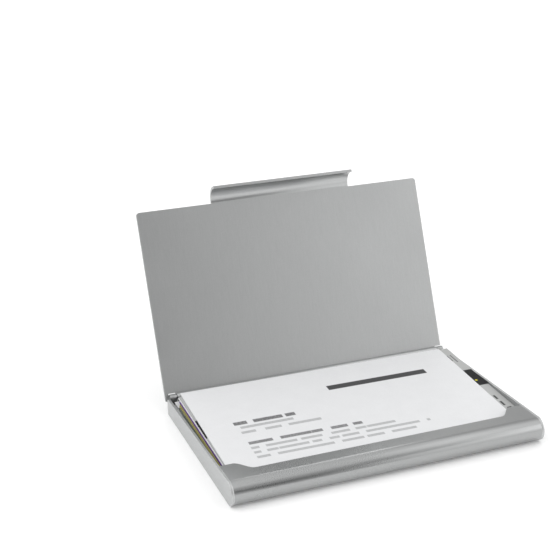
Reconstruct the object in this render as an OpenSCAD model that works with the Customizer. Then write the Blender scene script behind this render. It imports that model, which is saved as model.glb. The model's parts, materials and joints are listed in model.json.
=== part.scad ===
// Business card case: a shallow wedge-shaped tray with a half-round nose along
// its front, a flat lid on a rolled hinge along its back, and a stack of cards.
// Origin: centre of the tray's flat underside. X along the length, Y to the
// hinge, Z up. The case is drawn open, with its lid against the open stop.

/* [Tray] */
// Length of the case over its side plates
case_length = 92.4; // [88:0.2:100]
// Depth of the case from the nose to the back of the side plates
case_depth = 59; // [58.5:0.5:66]
// Height of the half-round nose
nose_height = 7; // [6.6:0.1:8]
// Thickness of the tray's sheet
base_sheet = 0.7; // [0.5:0.05:0.8]
// Thickness of the side plates
plate_thickness = 0.7; // [0.5:0.05:0.9]
// Slope of the tray's upper edge, which falls towards the hinge
wedge_angle = 1.85; // [1:0.05:2.2]
// Depth of the lip over the cards at its two ends, from the nose's front
lip_depth_ends = 12.2; // [11:0.1:14]
// Depth of the lip along its middle, from the nose's front
lip_depth_middle = 7.8; // [6.5:0.1:9]
// Width of the deep part at each end of the lip, to the middle of its curve
lip_end_width = 6.8; // [5:0.1:9]
// Length along the lip of the curve between its two depths
lip_curve_width = 5; // [2:0.5:8]

/* [Lid] */
// Thickness of the lid's sheet
lid_sheet = 0.8; // [0.6:0.05:0.9]
// Length of the lid from the hinge pin to its free edge
lid_reach = 55.7; // [55:0.1:56]
// Width of the lid along the case
lid_width = 91.7; // [88:0.1:92.4]
// How far the lid sits to the left of the tray's middle
lid_offset = 0.65; // [0:0.05:0.8]
// Radius of the lid's two free corners
lid_corner_r = 1; // [0.5:0.1:4]
// Angle from the closed lid's level to the open lid
lid_open_angle = 112.6; // [90:0.1:115]
// Gap between the closed lid and the tray
lid_gap = 0.15; // [0.1:0.01:0.2]
// Width of the tab that folds over the nose
tab_width = 45; // [30:0.5:60]
// Length of the tab's straight end below the nose's middle
tab_tip = 1.15; // [0.2:0.05:1.5]

/* [Hinge] */
// Radius of the hinge rod
rod_r = 0.46; // [0.4:0.01:0.5]
// Running clearance round the rod
rod_clearance = 0.04; // [0.02:0.01:0.08]
// Length of the tray's knuckle at each end of the hinge
end_knuckle = 2; // [1.5:0.5:20]
// Gap round each of the tray's knuckles
knuckle_gap = 0.2; // [0.2:0.05:0.5]

/* [Cards] */
// Width of a standard card
card_width = 85; // [84:0.5:85]
// Depth of a standard card
card_depth = 54; // [50:0.5:55]
// Depth of the small coloured cards
small_card_depth = 50; // [48:0.5:54]
// Width of the long banded card
banded_width = 88.7; // [85:0.1:89.4]
// Thickness of one card
card_thickness = 0.28; // [0.2:0.01:0.28]
// Spacing of the cards in the stack
card_pitch = 0.29; // [0.29:0.01:0.29]
// Angle by which the open lid lets the stack spring up at the back
stack_tilt = 1.7; // [0:0.1:2.8]

/* [Hidden] */
$fn = 64;

sheet_colour = [0.72, 0.73, 0.74];
plate_colour = [0.80, 0.81, 0.82];
steel_colour = [0.55, 0.56, 0.58];
paper_colour = [0.93, 0.93, 0.92];
banded_colour = [0.46, 0.465, 0.46];
purple_colour = [0.10, 0.01, 0.27];
olive_colour = [0.36, 0.34, 0.13];
yellow_colour = [0.50, 0.42, 0.17];
green_colour = [0.15, 0.18, 0.15];

margin = 1;                                   // overrun of a cut past the solid
front_y = -case_depth / 2;
back_y = case_depth / 2;
nose_r = nose_height / 2;
nose_y = front_y + nose_r;
inner_length = case_length - 2 * plate_thickness;
back_bend_r = 1;                              // outer bend between floor and back wall
plate_corner_r = 1;                           // rounded top corner of a side plate
corner_steps = 8;                             // facets round that corner
plate_step = 0.01;                            // side plate's edge below the lip's surface
lip_curve_x = case_length / 2 - lip_end_width;

// Height of the tray's sloping upper edge, a tangent to the nose
function upper_edge(y) = nose_r + (nose_r - (y - nose_y) * sin(wedge_angle)) / cos(wedge_angle);

bore_r = rod_r + rod_clearance;
pin_y = back_y + bore_r;
pin_z = upper_edge(pin_y) + (lid_gap - bore_r) / cos(wedge_angle);
base_knuckle_r = bore_r + base_sheet;
lid_knuckle_r = bore_r + lid_sheet;
roll_end_angle = -195;                        // where a rolled edge stops, short of its sheet
rod_length = inner_length - 2 * knuckle_gap;
end_knuckle_x = (rod_length - end_knuckle) / 2;
lid_knuckle = rod_length - 2 * (end_knuckle + knuckle_gap);
wall_clearance = 0.25;                        // back wall's gap under the lid's rolled edge
low_wall_z = pin_z - lid_knuckle_r - wall_clearance;
lid_tail = 0.8;                               // flat sheet past the pin, beside the hinge
notch_reach = base_knuckle_r + knuckle_gap;   // lid cut back round the tray's knuckles

// The nose's centre in the lid's own axes, whose origin is the pin
nose_lid_y = (nose_y - pin_y) * cos(wedge_angle) - (nose_r - pin_z) * sin(wedge_angle);
nose_lid_z = (nose_y - pin_y) * sin(wedge_angle) + (nose_r - pin_z) * cos(wedge_angle);
tab_inner_r = nose_r + lid_gap;
tab_outer_r = tab_inner_r + lid_sheet;

stack_gap = 0.1;                              // under the lowest card
stack_z = base_sheet + stack_gap;
stack_front_y = -26.5;                        // front edge of the stack, and its tilt axis
plain_count = 9;

// Extrudes an outline drawn in Y and Z along X, centred on x
module along_x(length, x = 0)
    translate([x - length / 2, 0, 0]) rotate([90, 0, 90]) linear_extrude(length) children();

// Slice of a disc between two angles, counted anticlockwise from +Y towards +Z
module disc_sector(radius, from, to) {
    steps = ceil((to - from) / 60);
    intersection() {
        circle(radius);
        polygon(concat([[0, 0]], [
            for (i = [0 : steps])
                let (angle = from + (to - from) * i / steps) 2 * radius * [cos(angle), sin(angle)]
        ]));
    }
}

// The same slice of a ring of sheet
module ring_sector(outer, sheet, from, to)
    difference() {
        disc_sector(outer, from, to);
        circle(outer - sheet);
    }

/* ---- tray ---- */

// Sheet rolled round the rod: it arrives along -Y over the rod's top, goes
// round the back and stops short of itself
module rolled_edge(sheet)
    ring_sector(bore_r + sheet, sheet, roll_end_angle, 90);

// Lip, half-round nose and floor, bent from one strip
module tray_outline() {
    translate([nose_y, 0]) square([case_depth - nose_r - back_bend_r, base_sheet]);
    translate([nose_y, nose_r]) {
        ring_sector(nose_r, base_sheet, 90 - wedge_angle, 270);
        rotate(-wedge_angle) translate([0, nose_r - base_sheet])
            square([lip_depth_ends - nose_r + margin, base_sheet]);
    }
    translate([back_y - back_bend_r, back_bend_r])
        ring_sector(back_bend_r, base_sheet, 270, 360);
}

// Back wall up to a given height, over one stretch of the hinge
module back_wall(top, length, x)
    along_x(length, x)
        translate([back_y - base_sheet, back_bend_r])
            square([base_sheet, top - back_bend_r]);

// One S-curve of the lip's edge, from its middle depth to its end depth
function lip_curve(side) = [
    for (angle = [0 : 10 : 180]) [
        side * (lip_curve_x - lip_curve_width / 2 + lip_curve_width * angle / 180),
        front_y + lip_depth_middle + (lip_depth_ends - lip_depth_middle) * (1 - cos(angle)) / 2
    ]
];

// What is cut from the lip: everything behind its curved edge
module lip_recess() {
    recess_back = front_y + lip_depth_ends;
    right_curve = lip_curve(1);
    left_curve = lip_curve(-1);
    corner_x = case_length / 2;
    polygon(concat(
        [for (i = [len(left_curve) - 1 : -1 : 0]) left_curve[i]], right_curve,
        [
            [corner_x, recess_back], [corner_x, recess_back + 2 * margin],
            [-corner_x, recess_back + 2 * margin], [-corner_x, recess_back]
        ]
    ));
}

module base_shell()
    color(sheet_colour) difference() {
        union() {
            along_x(inner_length) tray_outline();
            back_wall(low_wall_z, inner_length, 0);
            for (side = [-1, 1]) {
                back_wall(pin_z, end_knuckle, side * end_knuckle_x);
                along_x(end_knuckle, side * end_knuckle_x)
                    translate([pin_y, pin_z]) rotate(90) rolled_edge(base_sheet);
            }
        }
        translate([0, 0, nose_r]) linear_extrude(nose_height) lip_recess();
    }

// Side plate: it closes the tray's end and follows the nose
module side_plate(side) {
    corner_y = back_y - plate_corner_r;
    corner_z = upper_edge(corner_y) - plate_step - plate_corner_r / cos(wedge_angle);
    along_x(plate_thickness, side * (case_length - plate_thickness) / 2) {
        translate([nose_y, nose_r]) circle(nose_r);
        polygon(concat(
            [[nose_y, nose_r], [nose_y, 0], [back_y, 0]],
            [
                for (i = [0 : corner_steps])
                    let (angle = (90 - wedge_angle) * i / corner_steps)
                        [corner_y, corner_z] + plate_corner_r * [cos(angle), sin(angle)]
            ],
            [[nose_y, upper_edge(nose_y) - plate_step]]
        ));
    }
}

module side_plate_left() color(plate_colour) side_plate(-1);
module side_plate_right() color(plate_colour) side_plate(1);

/* ---- hinge and lid ---- */

module hinge_rod()
    color(steel_colour) translate([0, pin_y, pin_z])
        rotate([0, 90, 0]) cylinder(r = rod_r, h = rod_length, center = true);

// The flat sheet in plan, with its two rounded free corners
module lid_plan() {
    square_depth = lid_reach - lid_corner_r;
    left_x = -lid_width / 2 - lid_offset;
    translate([left_x, -square_depth]) square([lid_width, square_depth]);
    translate([left_x + lid_corner_r, -lid_reach])
        square([lid_width - 2 * lid_corner_r, lid_reach]);
    for (side = [-1, 1])
        translate([side * (lid_width / 2 - lid_corner_r) - lid_offset, -square_depth])
            circle(lid_corner_r);
    // A flat tail past the pin, beyond the left end of the rod
    translate([left_x, -margin])
        square([-rod_length / 2 - knuckle_gap / 2 - left_x, margin + lid_tail]);
}

// The tab's bend round the nose and its straight end
module tab_outline() {
    translate([nose_lid_y, bore_r]) square([-lid_reach - nose_lid_y + margin, lid_sheet]);
    translate([nose_lid_y, nose_lid_z]) {
        ring_sector(tab_outer_r, lid_sheet, 90, 180);
        translate([-tab_outer_r, -tab_tip]) square([lid_sheet, tab_tip]);
    }
}

// The lid in its own axes: the pin is the origin and the sheet runs to -Y
module flat_lid() {
    difference() {
        union() {
            translate([0, 0, bore_r]) linear_extrude(lid_sheet) lid_plan();
            along_x(tab_width, -lid_offset) tab_outline();
        }
        for (side = [-1, 1])
            translate([side * end_knuckle_x, 0, 0])
                cube([end_knuckle + knuckle_gap, 2 * notch_reach, 4 * lid_knuckle_r], center = true);
    }
    along_x(lid_knuckle) rolled_edge(lid_sheet);
}

module lid_panel()
    color(sheet_colour) translate([0, pin_y, pin_z]) rotate([-lid_open_angle, 0, 0]) flat_lid();

/* ---- cards ---- */

// One card at a level of the stack, counted from 0 at the bottom, moved along
// X and Y and turned a little. The whole stack tilts about its lower front edge.
module card(level, shift, back = 0, turn = 0, width = card_width, depth = card_depth)
    translate([0, stack_front_y, stack_z]) rotate([stack_tilt, 0, 0])
        translate([shift, depth / 2 + back, level * card_pitch]) rotate(turn)
            linear_extrude(card_thickness) square([width, depth], center = true);

// A small coloured card
module small_card(level, shift, back) card(level, shift, back, depth = small_card_depth);

module card_white_top() color(paper_colour) card(14, -0.45, 0.3, -1);
module card_banded() color(banded_colour) card(13, 1.05, -0.5, 0, banded_width);
module card_purple() color(purple_colour) small_card(11, -1.3, 1.5);
module card_olive() color(olive_colour) small_card(10, -1.6, 0.4);
module card_yellow() color(yellow_colour) small_card(9, -1.75, 0.2);
module card_green() color(green_colour) small_card(8, -2.1, -0.4);

// The plain cards lie a little to and fro, as cards in a pocket do. The last of
// them lies above the coloured ones.
module card_plain(number)
    color(paper_colour)
        if (number == plain_count) card(number + 3, -1.1, -0.6);
        else card(number - 1, sin(125 * number) - 1.1);

base_shell();
side_plate_left();
side_plate_right();
hinge_rod();
lid_panel();
card_white_top();
card_banded();
card_purple();
card_olive();
card_yellow();
card_green();
for (number = [1 : plain_count])
    card_plain(number);
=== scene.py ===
"""Looks of the business card case: finishes, edge rounding, card prints, studio and camera."""
import json
import math

import bpy
import numpy as np
from mathutils import Matrix, Vector

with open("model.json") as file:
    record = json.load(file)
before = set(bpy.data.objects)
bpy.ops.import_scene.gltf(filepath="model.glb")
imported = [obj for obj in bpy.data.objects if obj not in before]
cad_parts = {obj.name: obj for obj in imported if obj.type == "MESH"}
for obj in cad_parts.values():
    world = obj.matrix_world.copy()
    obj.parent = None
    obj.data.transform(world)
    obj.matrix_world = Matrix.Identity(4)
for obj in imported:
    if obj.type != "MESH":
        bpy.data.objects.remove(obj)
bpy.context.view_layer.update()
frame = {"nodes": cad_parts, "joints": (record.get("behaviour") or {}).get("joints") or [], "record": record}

MM = 0.001
SOFT_EDGE = 0.1 * MM
METAL_NODES = ["base_shell", "side_plate_left", "side_plate_right", "lid_panel"]

joints = {joint["name"]: joint for joint in frame["joints"]}


# ---- places taken from the frame ----

def unique_corners(node):
    """The corner points of a CAD node, each once."""
    points = np.array([v.co for v in frame["nodes"][node].data.vertices])
    return np.unique(points.round(7), axis=0)


def card_axes(node):
    """A card's centre, and the matrix from its own axes to the row's."""
    corners = unique_corners(node)
    centre = corners.mean(axis=0)
    rows = corners - centre
    right = corners[rows[:, 0] > 0].mean(axis=0) - corners[rows[:, 0] < 0].mean(axis=0)
    back = corners[rows[:, 1] > 0].mean(axis=0) - corners[rows[:, 1] < 0].mean(axis=0)
    right = Vector(right).normalized()
    back = Vector(back).normalized()
    up = right.cross(back)
    return Vector(centre), Matrix((right, back, up)).transposed()


def lid_axes():
    """The lid's pin, and the matrix from its own axes (X, from pin to free edge, outward) to the row's."""
    lid = frame["nodes"]["lid_panel"].data
    largest = max(lid.polygons, key=lambda face: face.area)
    normal = Vector(largest.normal)
    if normal.y > 0:
        normal = -normal
    across = Vector((1, 0, 0))
    return Vector(joints["lid_hinge"]["pos_m"]), Matrix((across, normal.cross(across), normal)).transposed()


# ---- node helpers ----

class Finish:
    """A material's node tree, or a world's, with short ways to make and join its nodes."""

    def __init__(self, name):
        self.material = bpy.data.materials.new(name)
        self.material.use_nodes = True
        self.tree = self.material.node_tree
        self.tree.nodes.clear()
        self.shader = self.add("ShaderNodeBsdfPrincipled")
        output = self.add("ShaderNodeOutputMaterial")
        self.tree.links.new(self.shader.outputs[0], output.inputs["Surface"])

    def add(self, kind, **settings):
        node = self.tree.nodes.new(kind)
        for key, value in settings.items():
            setattr(node, key, value)
        return node

    def feed(self, socket, value):
        """Joins a socket to another node's output, or sets it to a plain value."""
        if isinstance(value, bpy.types.NodeSocket):
            self.tree.links.new(value, socket)
        else:
            socket.default_value = value

    def math(self, operation, first, second=0.0, third=0.0):
        node = self.add("ShaderNodeMath", operation=operation)
        for socket, value in zip(node.inputs, (first, second, third)):
            self.feed(socket, value)
        return node.outputs[0]

    def place(self, origin=None, axes=None):
        """Object coordinates in the row's axes, or in a piece's own axes and origin."""
        coordinates = self.add("ShaderNodeTexCoord").outputs["Object"]
        if axes is None:
            return coordinates
        turned = axes.transposed()
        mapping = self.add("ShaderNodeMapping")
        self.feed(mapping.inputs["Vector"], coordinates)
        mapping.inputs["Rotation"].default_value = turned.to_euler("XYZ")
        mapping.inputs["Location"].default_value = -(turned @ origin)
        return mapping.outputs[0]

    def stretched(self, vector, scale):
        node = self.add("ShaderNodeVectorMath", operation="MULTIPLY")
        self.feed(node.inputs[0], vector)
        node.inputs[1].default_value = scale
        return node.outputs[0]

    def noise(self, vector, scale, detail=3.0, roughness=0.5):
        """Noise of a point in metres, with its scale per metre."""
        node = self.add("ShaderNodeTexNoise")
        self.feed(node.inputs["Vector"], vector)
        node.inputs["Scale"].default_value = scale
        node.inputs["Detail"].default_value = detail
        node.inputs["Roughness"].default_value = roughness
        return node.outputs["Fac"]

    def split(self, vector):
        node = self.add("ShaderNodeSeparateXYZ")
        self.feed(node.inputs[0], vector)
        return node.outputs

    def ramp(self, value, low, high, to_low=0.0, to_high=1.0, kind="LINEAR"):
        node = self.add("ShaderNodeMapRange", interpolation_type=kind)
        for key, number in zip(("Value", "From Min", "From Max", "To Min", "To Max"),
                               (value, low, high, to_low, to_high)):
            self.feed(node.inputs[key], number)
        return node.outputs[0]

    def levels(self, value, stops):
        """A curve through (place, level) stops, for places from 0 to 1."""
        node = self.add("ShaderNodeValToRGB")
        self.feed(node.inputs["Fac"], value)
        elements = node.color_ramp.elements
        while len(elements) < len(stops):
            elements.new(1.0)
        for element, (place, level) in zip(elements, stops):
            element.position = place
            element.color = grey(level)
        return node.outputs["Color"]

    def band(self, value, low, high, blur):
        """1 where the value lies between low and high, with both edges blurred."""
        rise = self.ramp(value, low - blur, low + blur)
        fall = self.ramp(value, high - blur, high + blur, 1.0, 0.0)
        return self.math("MULTIPLY", rise, fall)

    def edges(self, radius):
        """1 along sharp edges, where the surface turns within the radius."""
        rounded = self.add("ShaderNodeBevel", samples=6)
        rounded.inputs["Radius"].default_value = radius
        straight = self.add("ShaderNodeNewGeometry").outputs["Normal"]
        alike = self.add("ShaderNodeVectorMath", operation="DOT_PRODUCT")
        self.feed(alike.inputs[0], rounded.outputs[0])
        self.feed(alike.inputs[1], straight)
        return self.ramp(alike.outputs["Value"], 0.985, 0.90)

    def mix(self, share, first, second):
        node = self.add("ShaderNodeMix", data_type="RGBA")
        self.feed(node.inputs["Factor"], share)
        self.feed(node.inputs["A"], first)
        self.feed(node.inputs["B"], second)
        return node.outputs["Result"]

    def bump(self, height, strength, distance):
        node = self.add("ShaderNodeBump")
        self.feed(node.inputs["Height"], height)
        node.inputs["Strength"].default_value = strength
        node.inputs["Distance"].default_value = distance
        return node.outputs[0]

    def set(self, **values):
        for key, value in values.items():
            self.feed(self.shader.inputs[key.replace("_", " ")], value)


def grey(value, tint=(1.0, 1.0, 1.0)):
    return (value * tint[0], value * tint[1], value * tint[2], 1.0)


# ---- metal finishes ----

COOL = (0.985, 1.0, 1.0)
WORN_EDGE = 0.22 * MM
SURFACE_RELIEF = 0.012 * MM


def aluminium(name, axes_of, tone, rough, grain=0.25, beads=0.3, speckle=0.05, stretch=0.0):
    """Satin anodised aluminium: a fine grain along the sheet, a beaded surface and worn edges."""
    finish = Finish(name)
    place = finish.place(*axes_of) if axes_of else finish.place()
    lines = finish.noise(finish.stretched(place, (9000.0, 260.0, 9000.0)), 1.0, 2.0)
    pits = finish.noise(place, 5200.0, 2.0)
    clouds = finish.noise(place, 45.0, 3.0)
    specks = finish.noise(place, 2600.0, 4.0, 0.7)
    wear = finish.math("MULTIPLY", finish.edges(WORN_EDGE), finish.ramp(finish.noise(place, 700.0), 0.3, 0.6))

    shade = finish.math("MULTIPLY_ADD", lines, 0.5, finish.math("MULTIPLY", specks, 0.5))
    shade = finish.math("MULTIPLY_ADD", clouds, 0.15, shade)
    sheet = finish.mix(finish.ramp(shade, 0.40, 0.75),
                       grey(tone * (1 - speckle), COOL), grey(tone * (1 + speckle), COOL))
    finish.set(Base_Color=finish.mix(wear, sheet, grey(min(1.0, tone * 1.5), COOL)))
    smooth = finish.ramp(finish.math("MULTIPLY_ADD", pits, 0.4, clouds), 0.4, 1.0, rough - 0.04, rough + 0.06)
    finish.set(Roughness=finish.math("MULTIPLY_ADD", wear, -0.08, smooth))
    finish.shader.inputs["Metallic"].default_value = 1.0
    finish.shader.inputs["Anisotropic"].default_value = stretch
    across = finish.add("ShaderNodeCombineXYZ")
    across.inputs[0].default_value = 1.0
    finish.feed(finish.shader.inputs["Tangent"], across.outputs[0])
    fine = finish.math("ADD", finish.math("MULTIPLY", lines, grain), finish.math("MULTIPLY", pits, beads))
    finish.set(Normal=finish.bump(fine, 0.35, SURFACE_RELIEF))
    return finish.material


# ---- paper finishes ----

CHARCOAL = (0.014, 0.014, 0.015, 1.0)


def card_paper(name, colour, axes_of):
    """Uncoated card: fine fibres and a soft mottle."""
    finish = Finish(name)
    finish.spot = finish.place(*axes_of)
    fibres = finish.noise(finish.stretched(finish.spot, (2200.0, 900.0, 2200.0)), 1.0, 4.0, 0.6)
    mottle = finish.noise(finish.spot, 160.0, 3.0)
    mixed = finish.math("MULTIPLY_ADD", fibres, 0.5, finish.math("MULTIPLY", mottle, 0.5))
    share = finish.ramp(mixed, 0.3, 0.7)
    dark = tuple(c * 0.97 for c in colour) + (1.0,)
    light = tuple(min(1.0, c * 1.02) for c in colour) + (1.0,)
    finish.paper = finish.mix(share, dark, light)
    finish.set(Base_Color=finish.paper, Roughness=finish.ramp(fibres, 0.3, 0.7, 0.55, 0.7))
    finish.shader.inputs["Specular IOR Level"].default_value = 0.2
    finish.set(Normal=finish.bump(fibres, 0.25, 0.01 * MM))
    return finish


def print_rules(finish, rules, colour=CHARCOAL):
    """Prints plain rules on a card: (left, right, middle, height, ink share, word gaps) in mm."""
    across, along = finish.split(finish.spot)[:2]
    worn = finish.noise(finish.stretched(finish.spot, (1700.0, 1300.0, 0.0)), 1.0, 1.0)
    ink = 0.0
    for number, (left, right, middle, height, share, gaps) in enumerate(rules):
        low, high = middle - height / 2, middle + height / 2
        mark = finish.math("MULTIPLY", finish.band(across, left * MM, right * MM, 0.08 * MM),
                           finish.band(along, low * MM, high * MM, 0.12 * MM))
        if gaps:
            words = finish.add("ShaderNodeTexNoise", noise_dimensions="1D")
            finish.feed(words.inputs["W"], finish.math("MULTIPLY_ADD", across, 270.0, 7.3 * number))
            words.inputs["Scale"].default_value = 1.0
            words.inputs["Detail"].default_value = 0.0
            mark = finish.math("MULTIPLY", mark, finish.ramp(words.outputs["Fac"], gaps, gaps + 0.03))
            mark = finish.math("MULTIPLY", mark, finish.ramp(worn, 0.35, 0.6, 0.85, 1.0))
        ink = finish.math("MAXIMUM", ink, finish.math("MULTIPLY", mark, share))
    finish.paper = finish.mix(ink, finish.paper, colour)
    finish.set(Base_Color=finish.paper)


# Left, right, middle, height, ink and gap level of each rule on the top card
TOP_CARD_RULES = [
    (-0.6, 31.6, 14.6, 2.7, 0.92, 0.0),
    (-33.6, -13.6, 3.5, 1.8, 0.80, 0.34),
    (-33.2, -16.6, 0.9, 1.3, 0.40, 0.36),
    (-33.0, -9.2, -1.9, 1.3, 0.40, 0.36),
    (-33.0, 0.8, -8.1, 1.5, 0.74, 0.34),
    (-33.2, 10.5, -10.8, 1.2, 0.40, 0.36),
    (-33.2, 19.5, -13.3, 1.2, 0.40, 0.36),
    (-33.2, 14.0, -15.9, 1.2, 0.40, 0.36),
]
# The band of the long card, and the short marks by its right edge
BANDED_CARD_RULES = [
    (-50.0, 50.0, 6.0, 10.6, 1.0, 0.0),
    (41.2, 41.9, 20.2, 4.0, 0.9, 0.0),
    (42.7, 43.1, 19.7, 5.2, 0.7, 0.0),
    (41.6, 42.3, -7.7, 2.4, 0.9, 0.0),
    (41.6, 42.3, -11.7, 2.6, 0.9, 0.0),
    (41.8, 43.3, -14.6, 0.8, 0.9, 0.0),
]
BAND_SPOT = [(41.8, 42.5, 4.1, 0.7, 1.0, 0.0)]
SPOT_YELLOW = (0.80, 0.72, 0.05, 1.0)
WHITE_PAPER = [0.785, 0.79, 0.80]


def give(node, material):
    frame["nodes"][node].material_slots[0].material = material


give("base_shell", aluminium("tray_sheet_satin", None, tone=0.40, rough=0.28))
give("lid_panel", aluminium("lid_sheet_satin", lid_axes(), tone=0.475, rough=0.31, stretch=0.2))
for side in ("side_plate_left", "side_plate_right"):
    give(side, aluminium(side + "_matt", None, tone=0.54, rough=0.45, grain=0.0, beads=0.6, speckle=0.10))
give("hinge_rod", aluminium("rod_drawn", None, tone=0.45, rough=0.3))

slots = {row["slot"]: row["base_color"] for row in frame["record"]["materials"]}
for row in frame["record"]["subparts"]:
    node = row["node"]
    if node.startswith("card_"):
        colour = WHITE_PAPER if row["material_slot"] == "card_white" else slots[row["material_slot"]]
        paper = card_paper(node + "_paper", colour, card_axes(node))
        if node == "card_white_top":
            print_rules(paper, TOP_CARD_RULES)
        if node == "card_banded":
            print_rules(paper, BANDED_CARD_RULES)
            print_rules(paper, BAND_SPOT, SPOT_YELLOW)
        give(node, paper.material)


def soften_edges(node, width):
    """Rounds a CAD node's sharp edges a little, as tumbling and anodising leave them."""
    piece = frame["nodes"][node]
    weld = piece.modifiers.new("join_faces", "WELD")
    weld.merge_threshold = 0.001 * MM
    bevel = piece.modifiers.new("soft_edges", "BEVEL")
    bevel.width = width
    bevel.segments = 2
    bevel.limit_method = "ANGLE"
    bevel.angle_limit = math.radians(35)
    bevel.harden_normals = True


for node in METAL_NODES:
    soften_edges(node, SOFT_EDGE)


# ---- studio ----

FLOOR_HALF = 6.0
FLOOR_GLOW = 0.12
# Brightness of the room against the height of the direction, from level (0) to straight up (1)
ROOM_LEVELS = [(0.0, 0.78), (0.10, 0.76), (0.24, 0.66), (0.46, 0.98), (0.52, 0.46),
               (0.62, 0.42), (0.74, 0.88), (1.0, 1.0)]
WALL_BEHIND = 0.60
BACK_PANEL, LEFT_PANEL, RIGHT_PANEL = 3.7, 0.68, 0.58


def floor():
    size = FLOOR_HALF
    mesh = bpy.data.meshes.new("floor")
    corners = [(-size, -size, 0), (size, -size, 0), (size, size, 0), (-size, size, 0)]
    mesh.from_pydata(corners, [], [(0, 1, 2, 3)])
    piece = bpy.data.objects.new("floor", mesh)
    bpy.context.scene.collection.objects.link(piece)
    finish = Finish("floor_paper")
    finish.set(Base_Color=grey(0.96), Roughness=0.85)
    finish.shader.inputs["Specular IOR Level"].default_value = 0.2
    finish.shader.inputs["Emission Color"].default_value = grey(1.0)
    finish.shader.inputs["Emission Strength"].default_value = FLOOR_GLOW
    mesh.materials.append(finish.material)


def sun(name, direction, strength, angle):
    """A soft distant light that shines from the given direction."""
    lamp = bpy.data.lights.new(name, "SUN")
    lamp.energy = strength
    lamp.angle = math.radians(angle)
    piece = bpy.data.objects.new(name, lamp)
    piece.rotation_euler = Vector(direction).to_track_quat("Z", "Y").to_euler()
    bpy.context.scene.collection.objects.link(piece)


def toward(azimuth, elevation):
    """The direction at an azimuth to the right of -Y and an elevation, in degrees."""
    turn, rise = math.radians(azimuth), math.radians(elevation)
    return Vector((math.sin(turn) * math.cos(rise), -math.cos(turn) * math.cos(rise), math.sin(rise)))


def studio_light():
    """Light walls with a darker gap above them, a ceiling, and soft panels behind and at the sides."""
    finish = Finish("world_nodes")
    world = bpy.data.worlds.new("studio")
    world.use_nodes = True
    finish.tree = world.node_tree
    direction = finish.add("ShaderNodeTexCoord").outputs["Generated"]
    x, y, z = finish.split(direction)
    level = finish.levels(z, ROOM_LEVELS)
    # Low down, the room in front of the case gets brighter from left to right
    across = finish.ramp(x, 0.11, 0.46, -0.85, 0.66)
    shade = finish.math("MULTIPLY", finish.band(z, 0.10, 0.50, 0.05), across)
    level = finish.math("MULTIPLY_ADD", level, shade, level)
    # Behind the case there is a plain wall up to the ceiling
    ahead = finish.math("MAXIMUM", finish.ramp(y, 0.3, 0.0), finish.ramp(z, 0.62, 0.76))
    level = finish.mix(ahead, grey(WALL_BEHIND), level)
    # One soft panel behind the lid and one at each side
    back = finish.math("MULTIPLY", finish.ramp(y, 0.3, 0.5), finish.band(x, 0.05, 0.34, 0.06))
    glow = finish.math("MULTIPLY", finish.ramp(z, 0.42, 0.50), finish.ramp(z, 0.50, 0.74, 1.0, 0.0))
    left = finish.math("MULTIPLY", finish.ramp(x, -0.15, -0.6), finish.ramp(z, 0.1, 0.3))
    facing = finish.add("ShaderNodeVectorMath", operation="DOT_PRODUCT")
    finish.feed(facing.inputs[0], direction)
    facing.inputs[1].default_value = toward(85, 35)
    right = finish.ramp(facing.outputs["Value"], 0.76, 0.95, 0.0, 1.0, "SMOOTHSTEP")
    for part, strength in ((finish.math("MULTIPLY", back, glow), BACK_PANEL),
                           (left, LEFT_PANEL), (right, RIGHT_PANEL)):
        level = finish.math("MULTIPLY_ADD", part, strength, level)
    finish.feed(world.node_tree.nodes["Background"].inputs["Color"], level)
    bpy.context.scene.world = world
    bpy.data.materials.remove(finish.material)


floor()
studio_light()
sun("key_light", toward(-70, 45), 0.25, 30)


# ---- camera ----

def camera():
    lens = bpy.data.cameras.new("camera")
    lens.lens = 80.33
    lens.shift_x = -0.0357
    lens.shift_y = 0.0813
    lens.clip_start = 0.01
    piece = bpy.data.objects.new("camera", lens)
    yaw, pitch, roll = math.radians(21.300), math.radians(22.684), math.radians(0.809)
    turn = Matrix.Rotation(-yaw, 4, "Z") @ Matrix.Rotation(math.pi / 2 - pitch, 4, "X")
    place = Matrix.Translation(Vector((-129.18, -287.89, 166.15)) * MM)
    piece.matrix_world = place @ turn @ Matrix.Rotation(-roll, 4, "Z")
    bpy.context.scene.collection.objects.link(piece)
    bpy.context.scene.camera = piece


camera()
bpy.context.scene.view_settings.view_transform = "Standard"
